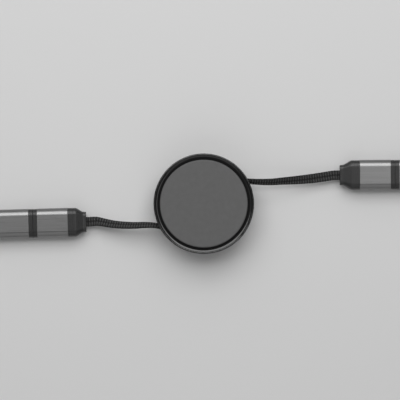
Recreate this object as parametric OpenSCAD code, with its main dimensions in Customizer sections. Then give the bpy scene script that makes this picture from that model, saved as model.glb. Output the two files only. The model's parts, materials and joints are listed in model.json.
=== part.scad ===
// Retractable charging cable: one flat braided cable, wound double on a sprung spool in a
// round housing, leaves it on both sides and ends in two metal plugs with pull-off adapters.
// The origin is the centre of the housing's lower face, +Z up. Both plugs lie on the plane z = 0.

/* [Housing] */
// Outside radius of the round housing
housing_r = 22.5; // [22:0.1:24]
// Thickness of the housing's side wall
wall_t = 1.6; // [1.4:0.1:1.8]
// Thickness of the web under each face plate
web_t = 1; // [0.9:0.1:1.4]
// Width of the ring round a face plate, its groove included
rim_w = 2.8; // [2.5:0.1:4]
// Thickness of a face plate
face_t = 0.8; // [0.6:0.1:1.2]
// Rounding of a face plate's edge
face_edge = 0.6; // [0.2:0.05:0.65]
// Thickness of the bonding film under a face plate
bond_t = 0.1; // [0.05:0.05:0.2]
// How far a face plate stands out past the housing's rim
face_proud = 0.15; // [0.05:0.05:0.3]
// Width of the groove between a face plate and the sloping ring
groove_w = 1.1; // [0.8:0.1:1.2]
// Rounding of the housing's outer rim
rim_round = 0.45; // [0.3:0.05:0.5]
// Height of the lip that registers the upper shell on the lower one
lip_h = 1.2; // [0.8:0.1:2]
// Width of the side mouths that the cable leaves by
mouth_w = 3.8; // [3.6:0.1:3.9]
// Distance of both mouths from the housing's X axis
mouth_y = 9.9; // [9.6:0.1:10.2]

/* [Spool] */
// How far the notched skirt lies in from the spool's edge
skirt_in = 2.6; // [2.5:0.1:3]
// Thickness of the notched skirt
skirt_t = 2; // [1.7:0.1:2.2]
// Number of latch notches in the skirt
notch_count = 18; // [12:1:24]
// Depth of a latch notch
notch_depth = 0.9; // [0.8:0.1:1.1]
// Height of the room for the spring
spring_room = 3.1; // [2.8:0.1:4]
// Thickness of the spool's web
spool_web_t = 0.8; // [0.6:0.1:1.2]
// Thickness of the spool's upper flange
flange_t = 0.6; // [0.5:0.1:1]
// Radius of the spool's hub, which carries the first turn
hub_r = 5.2; // [5:0.1:5.3]
// Radius of the fixed post that the spool turns on
post_r = 3; // [2.8:0.1:3.2]
// Turns of the main spring
spring_turns = 8; // [5:1:9]
// Thickness of the spring strip
spring_t = 0.3; // [0.2:0.05:0.4]
// Radius of the housing screw's shank
screw_r = 0.8; // [0.7:0.05:1]

/* [Cable] */
// Width of the flat braided cable
cable_w = 4.5; // [4.3:0.1:4.6]
// Thickness of the flat braided cable
cable_t = 1.3; // [1.2:0.05:1.35]
// Room left between the winding and the spool's edge
winding_edge = 1; // [0.9:0.1:2]

/* [Plugs] */
// Height of both plugs
plug_h = 7.4; // [7:0.1:8.5]
// Corner radius of a plug's section
plug_corner = 2.9; // [2.4:0.1:3.2]
// Wall of the metal sleeves
sleeve_wall = 0.6; // [0.4:0.1:0.8]
// Width of the left plug
left_w = 13.1; // [13:0.1:14.5]
// Width of the right plug
right_w = 13.5; // [13:0.1:14.5]
// Length of the left plug's tapered cap
left_cap_l = 8.2; // [7.8:0.1:10]
// Length of the right plug's tapered cap
right_cap_l = 8.9; // [7.8:0.1:10]
// Length of the left plug's sleeve
left_sleeve_l = 13.9; // [13:0.1:16]
// Length of the right plug's sleeve
right_sleeve_l = 14; // [13:0.1:16]
// Length of the collar, half of it on the plug and half on the adapter
collar_l = 3.7; // [3.2:0.1:5]
// How far the collars are set in from the sleeves
collar_step = 0.12; // [0.05:0.01:0.3]
// Width of a cap's neck
neck_w = 9.1; // [8.6:0.1:9.6]
// Height of a cap's neck
neck_h = 4.6; // [4.2:0.1:5]
// Length of a cap's neck
neck_l = 0.9; // [0.7:0.1:1.6]
// Length of the straight part of a cap, next to its sleeve
cap_flat_l = 3.2; // [2.6:0.1:3.4]
// Length of an adapter's sleeve
adapter_l = 16; // [15:0.5:20]
// Length of an adapter's nose piece
nose_l = 2.4; // [1.6:0.1:3.5]

/* [Connectors] */
// Width of the oval connector between plug and adapter
oval_w = 8.25; // [8.2:0.05:8.4]
// Height of the oval connector
oval_h = 2.4; // [2.3:0.05:2.5]
// Length that the oval connector stands out
oval_l = 6.5; // [6:0.1:6.7]
// Width of the flat four-contact plug on the left adapter
flat_w = 12; // [11.8:0.1:12.1]
// Height of the flat four-contact plug
flat_h = 4.5; // [4.4:0.1:4.6]
// Length that the flat plug stands out
flat_l = 11.9; // [11:0.1:12.5]
// Width of the small tapered plug on the right adapter
small_w = 6.85; // [6.7:0.05:7]
// Height of the small plug
small_h = 1.8; // [1.7:0.05:1.95]
// Length that the small plug stands out
small_l = 5.6; // [5:0.1:6.5]

/* [Hidden] */

$fn = 96;
// Cutters run past the faces they open by this much
past = 1;

// Colours
gunmetal = [0.38, 0.38, 0.38];
sleeve_grey = [0.43, 0.43, 0.43];
charcoal = [0.23, 0.23, 0.23];
black = [0.08, 0.08, 0.08];
steel = [0.75, 0.75, 0.76];
gold = [0.83, 0.68, 0.35];
board_green = [0.05, 0.25, 0.15];

// Clearances
run_gap = 0.3;          // axial gap between the spool and the webs
spool_side_gap = 0.9;   // radial gap between the spool's rims and the housing wall
pivot_fit = 0.05;       // radial running fit on the post and the pawl's pin
seat_fit = 0.05;        // gap round a piece that sits in another of its own body
plug_fit = 0.1;         // gap round the oval connector in its socket
cable_side_gap = 0.25;  // gap above and below the cable between the flanges

// Heights of the housing's layers
web_z = face_t + bond_t;
floor_z = web_z + web_t;
skirt_z = floor_z + run_gap;
spool_z = skirt_z + spring_room;
drum_z = spool_z + spool_web_t;
cable_z = drum_z + cable_side_gap + cable_w / 2;
flange_z = cable_z + cable_w / 2 + cable_side_gap;
flange_top_z = flange_z + flange_t;
roof_z = flange_top_z + run_gap + pivot_fit * 2;
roof_top_z = roof_z + web_t;
housing_h = roof_top_z + bond_t + face_t;
part_z = cable_z;

// Radii of the housing and the spool
face_r = housing_r - rim_w;
ring_r = face_r + groove_w;
cavity_r = housing_r - wall_t;
spool_r = cavity_r - spool_side_gap;
skirt_r = spool_r - skirt_in;
slope_start = 1.2;      // where the sloping ring starts, in roundings of the rim
slope_drop = 0.1;       // its outer edge lies this far below the rim
slope_r = housing_r - rim_round * slope_start;
lip_t = wall_t / 2 - seat_fit;
mouth_h = cable_w + 1.1;
mouth_x = sqrt(housing_r * housing_r - mouth_y * mouth_y);
mouth_at = [mouth_x - 1, mouth_y + 0.4];
mouth_turn = -18;
mouth_cut_in = 5;
mouth_cut_out = 4;
mouth_corner = mouth_w / 2 - 0.1;
film_inset = 0.4;
post_foot = 0.8;        // width of the step round the post's foot
post_relief = 0.1;      // the upper shell's part of the post is this much slimmer
hub_step = 1;           // width of the hub's step, which the upper flange rests on

// Screw: a countersunk head in the roof, a shank in the post
screw_head_r = screw_r * 2.2;
screw_head_h = 0.7;
screw_slot = [screw_head_r * 1.2, 0.35, 0.8];
screw_l = 6;
boss_h = 0.7;
post_top_z = roof_z - boss_h;

// Winding: two strands lie between each other, so a strand's own pitch is two strands
strand_room = 0.05;
strand_squeeze = 0.15;
first_gap = 0.1;
strand_pitch = cable_t + strand_room;
strand_t = cable_t - strand_squeeze;
first_r = hub_r + first_gap + cable_t / 2;
turns_on = floor((spool_r - winding_edge - first_r) / (2 * strand_pitch) - 0.5) + 0.5;
outer_strand_r = first_r + 2 * strand_pitch * turns_on;
leave_angle = 62;
strand_steps = 24;

// Spring: from the post's slot to the notch in the skirt
spring_gap = 0.5;
spring_in_r = post_r + spring_gap;
spring_out_r = skirt_r - skirt_t - spring_gap;
spring_h = spring_room - 2 * run_gap;
slot_w = spring_t + 2 * plug_fit;
spring_hook_room = 0.7;

// Latch: the pawl hangs between skirt and wall, its tip over a notch
pawl_angle = 130;
pawl_hub_r = 1.1;
pawl_pin_r = 0.5;
pawl_arm = 4.6;
pawl_out = 0.15;        // the pivot's distance out from the middle of the room
pawl_x = (skirt_r + cavity_r) / 2 + pawl_out;
pawl_tip_gap = 0.4;
pawl_hook = 0.35;
notch_w = 1.7;
notch_past = 0.5;
notch_flare = 0.3;
notch_draft = 0.2;
leaf_t = 0.2;
leaf_line = [[1.12, 3.2], [1.15, 2], [1.3, 0.2], [0.95, -1.4], [0.42, -3.2]];
anchor_at = [-0.2, 1.9];
anchor_size = [1.2, 1.3];
anchor_h = 2;

// Plugs: both lie on z = 0, their local +X points away from the housing
plug_z = plug_h / 2;
left_at = [-52.9, -8.2, plug_z];
right_at = [61.2, 12.85, plug_z];
left_turn = 181.6;
right_turn = 0.4;
inner_corner = plug_corner - sleeve_wall;
spigot_l = 2;
seam = 0.1;
cable_entry = 1;
oval_wall = 0.3;
flat_wall = 0.3;
small_wall = 0.25;
board_t = 0.8;
plug_root = 2.2;
flat_tongue_t = 1.9;
oval_root = 3;
oval_side = 1.65;       // the oval connector's width over its tongue's
socket_back = 0.7;      // depth of the socket past the oval connector
socket_l = oval_l + socket_back;
insulator_in = 0.5;     // how far the oval connector's insulator lies in from its mouth
tongue_w = oval_w - oval_side;
tongue_t = 0.7;
tongue_l = 4.8;
tongue_room = 0.3;
tongue_corner = 0.2;
end_flat = 0.01;        // half of the flat between the arcs of a round end
cap_edge = 0.25;
corner_steps = 6;
cap_stations = 9;

// Inside the plugs: walls of the caps and noses, wires, clamp and the boards' parts
cap_wall = 1.7;
cap_roof = 1.3;
nose_wall = 2.5;
nose_roof = 2;
neck_wall = 1.4;
neck_roof = 0.9;
neck_corner = 1.7;
entry_room = 0.5;
entry_corner = 0.6;
passage_corner = 0.4;
cavity_corner = 1.2;
pocket_corner = 0.8;
wire_r = 0.35;
wire_pitch = 1.05;
wire_sides = 24;
tail_in = 0.6;          // the cable's tail reaches this far into a cap's straight part
tail_corner = cable_t / 2 - 0.1;
board_in = 1.2;         // a plug's board starts this far past its cap
clamp_at = neck_l + 1.2;
clamp_l = 1.2;
clamp_wall = 0.6;
clamp_corner = 0.8;
clamp_hole_corner = 0.5;
clamp_room = 0.2;
big_chip = [2.4, 1.6, 0.8];
small_chip = [1.6, 1.2, 0.6];
small_chip_at = 2.2;
board_side_gap = 3.6;
board_end_gap = 0.2;
nose_pocket = 0.2;
nose_corner = 0.5;

// Contacts: pitch, width and thickness, and the flat plug's windows
flat_pitch = 2.3;
flat_contact_w = 1;
flat_contact_t = 0.15;
flat_contact_in = [1.6, 1.8];
flat_windows = [2, 2.3];
flat_window_at = 2.7;
flat_corner = 0.5;
flat_corner_in = 0.3;
flat_base = 1;
flat_tongue_side = 0.3;
flat_tongue_in = 0.7;
small_pitch = 0.65;
small_contact_w = 0.4;
small_contact_t = 0.12;
small_contact_in = 1;
small_cut = 0.75;
small_base = 0.8;
small_tongue_side = 1.3;
small_tongue_in = 0.6;
small_tongue_t = 0.45;
lug_size = [1.3, 0.8, 0.3];
lug_at = [2.4, 1.9];    // back from the small plug's mouth, and to each side
lug_sunk = 0.05;

// The cables leave the winding at one point and pass the mouth at another
lead = outer_strand_r * [cos(leave_angle), sin(leave_angle)];
gate = mouth_at + [0, 0.1];

// A point on the way from the winding to the mouth, on side 1 or -1
function inside(side, share, turn) =
    let (p = side * (lead + (gate - lead) * share)) [p[0], p[1], cable_z, turn];

// The cables' routes: x, y, z and the turn of the flat section, 90 on edge and 0 flat
right_route = [
    inside(1, 0.015, 90), inside(1, 0.37, 90), inside(1, 0.7, 84), inside(1, 1, 70),
    [22.4, 9.9, 8.5, 61], [26.6, 9.75, 8.1, 56], [30.6, 9.8, 7.5, 52], [34.6, 10.1, 6.8, 47],
    [38.7, 10.4, 6.1, 40], [42.7, 10.7, 5.4, 30], [46.8, 11.1, 4.8, 19], [50.8, 11.6, 4.3, 10],
    [54.8, 12.2, 3.95, 3], [58, 12.72, 3.75, 0], [60.15, 12.84, plug_z, 0],
    [62.18, 12.86, plug_z, 0],
];
left_route = [
    inside(-1, 0.015, 90), inside(-1, 0.37, 90), inside(-1, 0.7, 84), inside(-1, 1, 70),
    [-22.6, -9.7, 8.5, 61], [-26.8, -9.6, 7.9, 56], [-30.9, -9.75, 7.1, 52],
    [-34.9, -9.7, 6.2, 48], [-39, -9.45, 5.3, 43], [-42.6, -8.95, 4.6, 38],
    [-45.6, -8.35, 4.1, 33], [-48.2, -7.95, 3.8, 20], [-50.2, -8.05, plug_z, 7],
    [-51.9, -8.17, plug_z, 0], [-53.88, -8.23, plug_z, 0],
];

function unit(v) = v / norm(v);

// Rounded rectangle as a list of points, corner by corner
function corner_points(w, h, r) = [
    for (k = [0:3]) for (i = [0:corner_steps])
        let (a = 90 * k + 90 * i / corner_steps, sx = k == 0 || k == 3 ? 1 : -1, sy = k < 2 ? 1 : -1)
            [sx * (w / 2 - r) + r * cos(a), sy * (h / 2 - r) + r * sin(a)]
];

// Closed surface over rings of equally many points
module skin_over(rings) {
    n = len(rings[0]);
    last = len(rings) - 1;
    sides = [
        for (k = [0:last - 1]) for (i = [0:n - 1]) let (j = (i + 1) % n)
            each [
                [k * n + i, (k + 1) * n + i, k * n + j],
                [k * n + j, (k + 1) * n + i, (k + 1) * n + j],
            ]
    ];
    start = [for (i = [1:n - 2]) [0, i, i + 1]];
    end = [for (i = [1:n - 2]) [last * n, last * n + i + 1, last * n + i]];
    polyhedron([for (ring = rings) each ring], concat(sides, start, end));
}

// Outline of the flat cable, eight points round
flat_section = [
    [cable_w / 2, -cable_t / 5], [cable_w / 2, cable_t / 5],
    [cable_w / 2 - cable_t / 3, cable_t / 2], [cable_t / 3 - cable_w / 2, cable_t / 2],
    [-cable_w / 2, cable_t / 5], [-cable_w / 2, -cable_t / 5],
    [cable_t / 3 - cable_w / 2, -cable_t / 2], [cable_w / 2 - cable_t / 3, -cable_t / 2],
];

function place(p) = [p[0], p[1], p[2]];

function heading(route, k) =
    let (last = len(route) - 1)
        unit(place(route[min(k + 1, last)]) - place(route[max(k - 1, 0)]));

// One ring of the cable: the section stands square to the route and turns with it
function cable_ring(route, k) =
    let (
        along = heading(route, k),
        side = unit(cross([0, 0, 1], along)),
        up = cross(along, side),
        turn = route[k][3],
        wide = side * cos(turn) + up * sin(turn),
        thick = up * cos(turn) - side * sin(turn)
    )
        [for (q = flat_section) place(route[k]) + wide * q[0] + thick * q[1]];

module cable_run(route) skin_over([for (k = [0:len(route) - 1]) cable_ring(route, k)]);

// Rounded rectangle, exact, centred
module rounded(w, h, r) {
    square([w - 2 * r, h], center = true);
    square([w, h - 2 * r], center = true);
    for (x = [-1, 1], y = [-1, 1]) translate([x * (w / 2 - r), y * (h / 2 - r)]) circle(r);
}

// Bar of rounded section along local X
module bar(x0, x1, w, h, r) {
    translate([x0, 0, 0]) rotate([90, 0, 90]) linear_extrude(x1 - x0) rounded(w, h, r);
}

// Bar along local X with round ends, such as the connector between plug and adapter
module oval_bar(x0, x1, w, h) bar(x0, x1, w, h, h / 2 - end_flat);

// Disc or ring between two heights
module ring(z0, z1, outer, inner = 0) {
    translate([0, 0, z0]) difference() {
        cylinder(h = z1 - z0, r = outer);
        if (inner > 0) translate([0, 0, -past]) cylinder(h = z1 - z0 + 2 * past, r = inner);
    }
}

// ---- Housing ----

// Face plate with its outer edge rounded, face at z = 0 looking down
module plate_shape() {
    rotate_extrude() {
        square([face_r - face_edge, face_t]);
        translate([0, face_edge]) square([face_r, face_t - face_edge]);
        intersection() {
            translate([face_r - face_edge, face_edge]) circle(face_edge);
            square([face_r, face_t]);
        }
    }
}

module bottom_face_plate() color(gunmetal) plate_shape();

module top_face_plate() color(gunmetal) translate([0, 0, housing_h]) mirror([0, 0, 1]) plate_shape();

module bottom_bonding_film() color(steel) ring(face_t, web_z, face_r - film_inset);

module top_bonding_film() color(steel) ring(roof_top_z, housing_h - face_t, face_r - film_inset);

// Half of the housing as a revolved profile: web, sloping ring, rounded rim and side wall
module shell_profile(wall_end, lip_end, lip_in) {
    rim_z = face_proud;
    slope_z = rim_z + slope_drop;
    rotate_extrude() {
        polygon([[0, web_z], [ring_r, web_z], [slope_r, slope_z], [housing_r - rim_round, rim_z],
            [housing_r - rim_round, rim_z + rim_round], [housing_r, rim_z + rim_round],
            [housing_r, wall_end], [lip_in ? cavity_r + lip_t : housing_r, wall_end],
            [lip_in ? cavity_r + lip_t : housing_r, lip_end], [cavity_r, lip_end],
            [cavity_r, floor_z], [0, floor_z]]);
        translate([housing_r - rim_round, rim_z + rim_round]) circle(rim_round);
    }
}

// Slots through the side wall where the cable leaves, one on each side
module mouths() {
    for (turn = [0, 180]) rotate([0, 0, turn])
        translate([mouth_at[0], mouth_at[1], cable_z]) rotate([0, 0, mouth_turn])
            bar(-mouth_cut_in, mouth_cut_out, mouth_w, mouth_h, mouth_corner);
}

// The pawl's place: its pivot on the X axis of a frame turned to the latch
module at_pawl() rotate([0, 0, pawl_angle]) translate([pawl_x, 0, 0]) children();

module lower_shell() color(black) difference() {
    union() {
        shell_profile(part_z, part_z + lip_h, true);
        ring(web_z, post_top_z, post_r);
        ring(web_z, skirt_z, post_r + post_foot);
        at_pawl() ring(web_z, skirt_z, pawl_hub_r);
        spring_anchor();
    }
    mouths();
    translate([0, 0, post_top_z - screw_l + boss_h]) cylinder(h = screw_l, r = screw_r + seat_fit);
    translate([0, -slot_w / 2, skirt_z]) cube([post_r + past, slot_w, spring_room - run_gap]);
    at_pawl() translate([0, 0, web_z + web_t / 2]) cylinder(h = spring_room, r = pawl_pin_r + seat_fit);
}

module upper_shell() color(black) difference() {
    union() {
        translate([0, 0, housing_h]) mirror([0, 0, 1])
            shell_profile(housing_h - part_z, housing_h - part_z, false);
        ring(post_top_z, roof_top_z, post_r - post_relief);
    }
    ring(part_z - past, part_z + lip_h + seat_fit, cavity_r + lip_t + seat_fit);
    mouths();
    translate([0, 0, post_top_z - past]) cylinder(h = housing_h, r = screw_r + seat_fit);
    translate([0, 0, roof_top_z - screw_head_h - seat_fit])
        cylinder(h = screw_head_h + seat_fit + past, r = screw_head_r + seat_fit);
}

module housing_screw() color(steel) difference() {
    union() {
        ring(roof_top_z - screw_l, roof_top_z - screw_head_h, screw_r);
        ring(roof_top_z - screw_head_h, roof_top_z, screw_head_r);
    }
    for (turn = [0, 90]) rotate([0, 0, turn]) translate([0, 0, roof_top_z])
        cube(screw_slot, center = true);
}

// ---- Spool and spring ----

module notch() {
    translate([skirt_r, 0, skirt_z - past]) linear_extrude(spring_room + past)
        polygon([[notch_past, -notch_w / 2 - notch_flare], [notch_past, notch_w / 2 + notch_flare],
            [-notch_depth, notch_w / 2 - notch_draft], [-notch_depth, notch_draft - notch_w / 2]]);
}

module spool_drum() color(charcoal) difference() {
    union() {
        ring(spool_z, drum_z, spool_r);
        ring(skirt_z, spool_z + spool_web_t / 2, skirt_r, skirt_r - skirt_t);
        ring(spool_z, flange_z, hub_r);
        ring(spool_z, flange_top_z, hub_r - hub_step);
    }
    for (k = [0:notch_count - 1]) rotate([0, 0, pawl_angle + 360 / notch_count * k - tip_lag]) notch();
    translate([0, 0, spool_z - past]) cylinder(h = housing_h, r = post_r + pivot_fit);
    rotate([0, 0, spring_turns * 360]) translate([spring_out_r - spring_t, -slot_w / 2, skirt_z - past])
        cube([spring_gap + spring_t * 2 + spring_hook_room, slot_w, spring_room + past]);
}

module spool_flange() color(charcoal)
    ring(flange_z, flange_top_z, spool_r, hub_r - hub_step + seat_fit);

// Centre line of a flat spiral that runs clockwise from radius r0 to r1
function spiral_line(r0, r1, a0, turns) = [
    for (i = [0:ceil(turns * strand_steps)])
        let (s = min(i / strand_steps / turns, 1), a = a0 - 360 * turns * s, r = r0 + (r1 - r0) * s)
            [r * cos(a), r * sin(a)]
];

function reversed(list) = [for (i = [len(list) - 1:-1:0]) list[i]];

// Points beside a centre line, to its right at a distance
function beside(line, d) = [
    for (i = [0:len(line) - 1])
        let (dir = unit(line[min(i + 1, len(line) - 1)] - line[max(i - 1, 0)]))
            line[i] + d * [dir[1], -dir[0]]
];

// Strip of thickness t along a centre line
module strip(line, t) polygon(concat(beside(line, t / 2), reversed(beside(line, -t / 2))));

// Spring strip: its inner tab lies in the post's slot, its outer tab in the skirt
module main_spring() color(steel) translate([0, 0, skirt_z + run_gap]) linear_extrude(spring_h)
    strip(concat([[post_r / 2, 0]], spiral_line(spring_in_r, spring_out_r, 0, spring_turns),
        [[spring_out_r + spring_gap + skirt_t / 2, 0]]), spring_t);

// Cable on the spool: it folds back on itself at the hub and both halves wind outwards together
winding_line = let (
    start = leave_angle + 360 * turns_on,
    fold_at = (first_r + strand_pitch / 2) * [cos(start), sin(start)],
    fold = [
        for (a = [30:30:150])
            fold_at + strand_pitch / 2 * [cos(start + 180 - a), sin(start + 180 - a)]
    ]
) concat(
    reversed(spiral_line(first_r, outer_strand_r, start, turns_on)),
    fold,
    spiral_line(first_r + strand_pitch, outer_strand_r, start, turns_on - 0.5)
);

module cable_winding() color(black)
    translate([0, 0, cable_z - cable_w / 2]) linear_extrude(cable_w) strip(winding_line, strand_t);

// Least gap between neighbouring strands of the winding
echo(winding_gap = strand_pitch - strand_t);

// ---- Latch ----

// Angle by which the pawl's tip lies behind its pivot, seen from the spool's axis
tip_lag = atan2(pawl_arm, pawl_x - pawl_hub_r);

module latch_pawl() color(steel) at_pawl() translate([0, 0, skirt_z + run_gap / 2]) difference() {
    linear_extrude(spring_room - run_gap) {
        circle(pawl_hub_r);
        polygon(pawl_outline);
    }
    translate([0, 0, -past]) cylinder(h = spring_room + past, r = pawl_pin_r + pivot_fit);
}

// The tip's distance from the pivot's radius, so that it clears the skirt
pawl_tip_x = sqrt(pow(skirt_r + pawl_tip_gap, 2) - pow(pawl_arm - pawl_hook, 2)) - pawl_x + pawl_hook;

// The pawl's arm, from the pivot along its hollow side to the hooked tip, and back
pawl_outline = [
    [-pawl_hub_r * 0.85, -0.6], [pawl_tip_x + 0.6, -pawl_arm + 1.25],
    [pawl_tip_x - 0.3, -pawl_arm + 0.45], [pawl_tip_x, -pawl_arm - pawl_hook],
    [0.2 - pawl_hub_r * 0.2, -pawl_arm + 0.4], [pawl_hub_r * 0.7, -0.8],
];

module pawl_pin() color(steel) at_pawl()
    ring(web_z + web_t / 2, spool_z - run_gap, pawl_pin_r);

// Block on the lower web that holds the leaf spring's end
module spring_anchor() at_pawl() translate([anchor_at[0], anchor_at[1], web_z])
    cube([anchor_size[0], anchor_size[1], skirt_z - web_z + anchor_h]);

// Leaf spring: bears on the pawl's back from the anchor block
module pawl_spring() color(steel) at_pawl() translate([0, 0, skirt_z + run_gap])
    linear_extrude(spring_room - 3 * run_gap) strip(leaf_line, leaf_t);

// ---- Free cable ----

module left_cable() color(black) cable_run(left_route);

module right_cable() color(black) cable_run(right_route);

// ---- Plugs ----

module at_left() translate(left_at) rotate([0, 0, left_turn]) children();

module at_right() translate(right_at) rotate([0, 0, right_turn]) children();

// Smooth step from 0 to 1
function ease(s) = s * s * (3 - 2 * s);

// Rings of the cap: straight neck, S-shaped swell, straight body
function cap_rings(w, l) = [
    for (k = [-1:cap_stations + 1])
        let (
            s = min(max(k / cap_stations, 0), 1),
            x = k < 0 ? 0 : k > cap_stations ? l : neck_l + (l - cap_flat_l - neck_l) * s,
            e = ease(s),
            edge = k < 0 ? cap_edge : 0,
            ww = neck_w + (w - 2 * collar_step - neck_w) * e - edge * 2,
            hh = neck_h + (plug_h - 2 * collar_step - neck_h) * e - edge * 2,
            r = neck_corner + (plug_corner - collar_step - neck_corner) * e - edge
        )
            [for (q = corner_points(ww, hh, r)) [x, q[0], q[1]]]
];

module end_cap(w, l) color(charcoal) {
    difference() {
        skin_over(cap_rings(w, l));
        bar(-past, cable_entry, cable_w + entry_room, cable_t + entry_room, entry_corner);
        bar(0, clamp_at, cable_w + 2 * seat_fit, cable_t + 2 * seat_fit, passage_corner);
        bar(clamp_at - clamp_room, l - cap_flat_l, neck_w - 2 * neck_wall, neck_h - 2 * neck_roof,
            pocket_corner);
        bar(l - cap_flat_l - seat_fit, l + past, w - 2 * cap_wall, plug_h - 2 * cap_roof, cavity_corner);
    }
    difference() {
        bar(l, l + spigot_l, w - 2 * (sleeve_wall + seat_fit), plug_h - 2 * (sleeve_wall + seat_fit),
            inner_corner - seat_fit);
        bar(l - past, l + spigot_l + past, w - 2 * cap_wall, plug_h - 2 * cap_roof, cavity_corner);
    }
}

module metal_sleeve(x0, x1, w) color(sleeve_grey) difference() {
    bar(x0, x1, w, plug_h, plug_corner);
    bar(x0 - past, x1 + past, w - 2 * sleeve_wall, plug_h - 2 * sleeve_wall, inner_corner);
}

// Collar with a spigot into the sleeve on one side; x_in is the spigot's end
module collar(x_in, x_sleeve, x_face, w) {
    bar(min(x_sleeve, x_face), max(x_sleeve, x_face), w - 2 * collar_step, plug_h - 2 * collar_step,
        plug_corner - collar_step);
    bar(min(x_in, x_sleeve), max(x_in, x_sleeve), w - 2 * (sleeve_wall + seat_fit),
        plug_h - 2 * (sleeve_wall + seat_fit), inner_corner - seat_fit);
}

module plug_collar(x, w) color(charcoal) difference() {
    collar(x - spigot_l, x, x + (collar_l - seam) / 2, w);
    oval_bar(x - spigot_l - past, x + collar_l, oval_w + 2 * seat_fit, oval_h + 2 * seat_fit);
}

module adapter_collar(x, w) color(charcoal) difference() {
    collar(x + spigot_l, x, x - (collar_l - seam) / 2, w);
    oval_bar(x - collar_l, x + spigot_l + past, socket_w + 2 * seat_fit, socket_h + 2 * seat_fit);
}

// Outside of the socket that takes the oval connector
socket_w = oval_w + 2 * (plug_fit + oval_wall);
socket_h = oval_h + 2 * (plug_fit + oval_wall);

// End of the cable inside a cap of length l, and its four wires to the board
module cable_tail(l) color(black) {
    wires_x = l - cap_flat_l + tail_in;
    bar(cable_entry, wires_x, cable_w, cable_t, tail_corner);
    for (k = [-1.5:1:1.5]) translate([wires_x, k * wire_pitch, 0]) rotate([0, 90, 0])
        cylinder(h = l + board_in - wires_x, r = wire_r, $fn = wire_sides);
}

module cable_clamp() color(steel) difference() {
    bar(clamp_at, clamp_at + clamp_l, cable_w + 2 * clamp_wall, cable_t + 2 * clamp_wall, clamp_corner);
    bar(clamp_at - past, clamp_at + clamp_l + past, cable_w + 2 * seat_fit, cable_t + 2 * seat_fit,
        clamp_hole_corner);
}

// Board from the cable's wires to the root of the connector, with its small parts
module board(x0, x1, w) color(board_green) {
    translate([x0, -w / 2, -board_t / 2]) cube([x1 - x0, w, board_t]);
    for (side = [-1, 1]) translate([(x0 + x1) / 2, side * w / 4, (board_t + big_chip[2]) / 2])
        cube(big_chip, center = true);
    translate([x0 + small_chip_at, 0, (board_t + small_chip[2]) / 2]) cube(small_chip, center = true);
}

module oval_shell(x) color(steel) difference() {
    oval_bar(x - oval_root, x + oval_l, oval_w, oval_h);
    oval_bar(x - oval_root - past, x + oval_l + past, oval_w - 2 * oval_wall, oval_h - 2 * oval_wall);
}

module oval_insulator(x) color(black) difference() {
    oval_bar(x - oval_root, x + oval_l - insulator_in, oval_w - 2 * (oval_wall + seat_fit),
        oval_h - 2 * (oval_wall + seat_fit));
    bar(x + oval_l - insulator_in - tongue_l - tongue_room, x + oval_l, tongue_w + 2 * plug_fit,
        tongue_t + 2 * plug_fit, tongue_corner);
}

module socket_shell(x) color(steel) difference() {
    oval_bar(x, x + socket_l, socket_w, socket_h);
    oval_bar(x - past, x + socket_l - oval_wall, oval_w + 2 * plug_fit, oval_h + 2 * plug_fit);
    bar(x, x + socket_l + past, tongue_w + 2 * seat_fit, board_t + 2 * seat_fit, tongue_corner);
}

module socket_tongue(x) color(black) {
    bar(x + socket_l - oval_wall - tongue_l, x + socket_l, tongue_w, tongue_t, tongue_corner);
}

// Nose of an adapter: its mouth is cut by the child, its spigot is open behind
module adapter_nose(x, w) color(charcoal) difference() {
    collar(x - spigot_l, x, x + nose_l, w);
    children();
    bar(x - spigot_l - past, x + nose_pocket, w - 2 * nose_wall, plug_h - 2 * nose_roof, nose_corner);
}

// Points along each plug, measured from its neck
left_s = left_cap_l + left_sleeve_l;
right_s = right_cap_l + right_sleeve_l;
left_a = left_s + collar_l;
right_a = right_s + collar_l;
left_seam = left_s + (collar_l + seam) / 2;
right_seam = right_s + (collar_l + seam) / 2;

// Flat four-contact plug
module flat_shell(x) color(steel) difference() {
    bar(x - plug_root, x + flat_l, flat_w, flat_h, flat_corner);
    bar(x - nose_l, x + flat_l + past, flat_w - 2 * flat_wall, flat_h - 2 * flat_wall, flat_corner_in);
    for (side = [-1, 1], face = [-1, 1])
        translate([x + flat_l / 2, side * flat_window_at, face * flat_h / 2])
            cube([flat_windows[0], flat_windows[1], flat_wall * 3], center = true);
}

module flat_insulator(x) color(black) {
    inner_w = flat_w - 2 * (flat_wall + seat_fit);
    inner_h = flat_h - 2 * (flat_wall + seat_fit);
    bar(x - plug_root, x + flat_base, inner_w, inner_h, flat_corner_in);
    translate([x, flat_tongue_side - inner_w / 2, inner_h / 2 - flat_tongue_t])
        cube([flat_l - flat_tongue_in, inner_w - 2 * flat_tongue_side, flat_tongue_t]);
}

module flat_contacts(x) color(gold) {
    for (k = [-1.5:1:1.5])
        translate([x + flat_contact_in[0], k * flat_pitch - flat_contact_w / 2,
            flat_h / 2 - flat_wall - seat_fit - flat_tongue_t - flat_contact_t])
                cube([flat_l - flat_contact_in[0] - flat_contact_in[1], flat_contact_w, flat_contact_t]);
}

// Small plug with its two lower corners cut away
module small_outline(inset) {
    w = small_w / 2 - inset;
    h = small_h / 2 - inset;
    cut = small_cut - inset / 2;
    polygon([[-w, h], [-w, cut - h], [cut - w, -h], [w - cut, -h], [w, cut - h], [w, h]]);
}

module small_bar(x0, x1, inset) translate([x0, 0, 0]) rotate([90, 0, 90]) linear_extrude(x1 - x0)
    small_outline(inset);

module small_shell(x) color(steel) {
    difference() {
        small_bar(x - plug_root, x + small_l, 0);
        small_bar(x - nose_l, x + small_l + past, small_wall);
    }
    for (side = [-1, 1])
        translate([x + small_l - lug_at[0], side * lug_at[1] - lug_size[1] / 2,
            lug_sunk - small_h / 2 - lug_size[2]])
                cube(lug_size);
}

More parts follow.
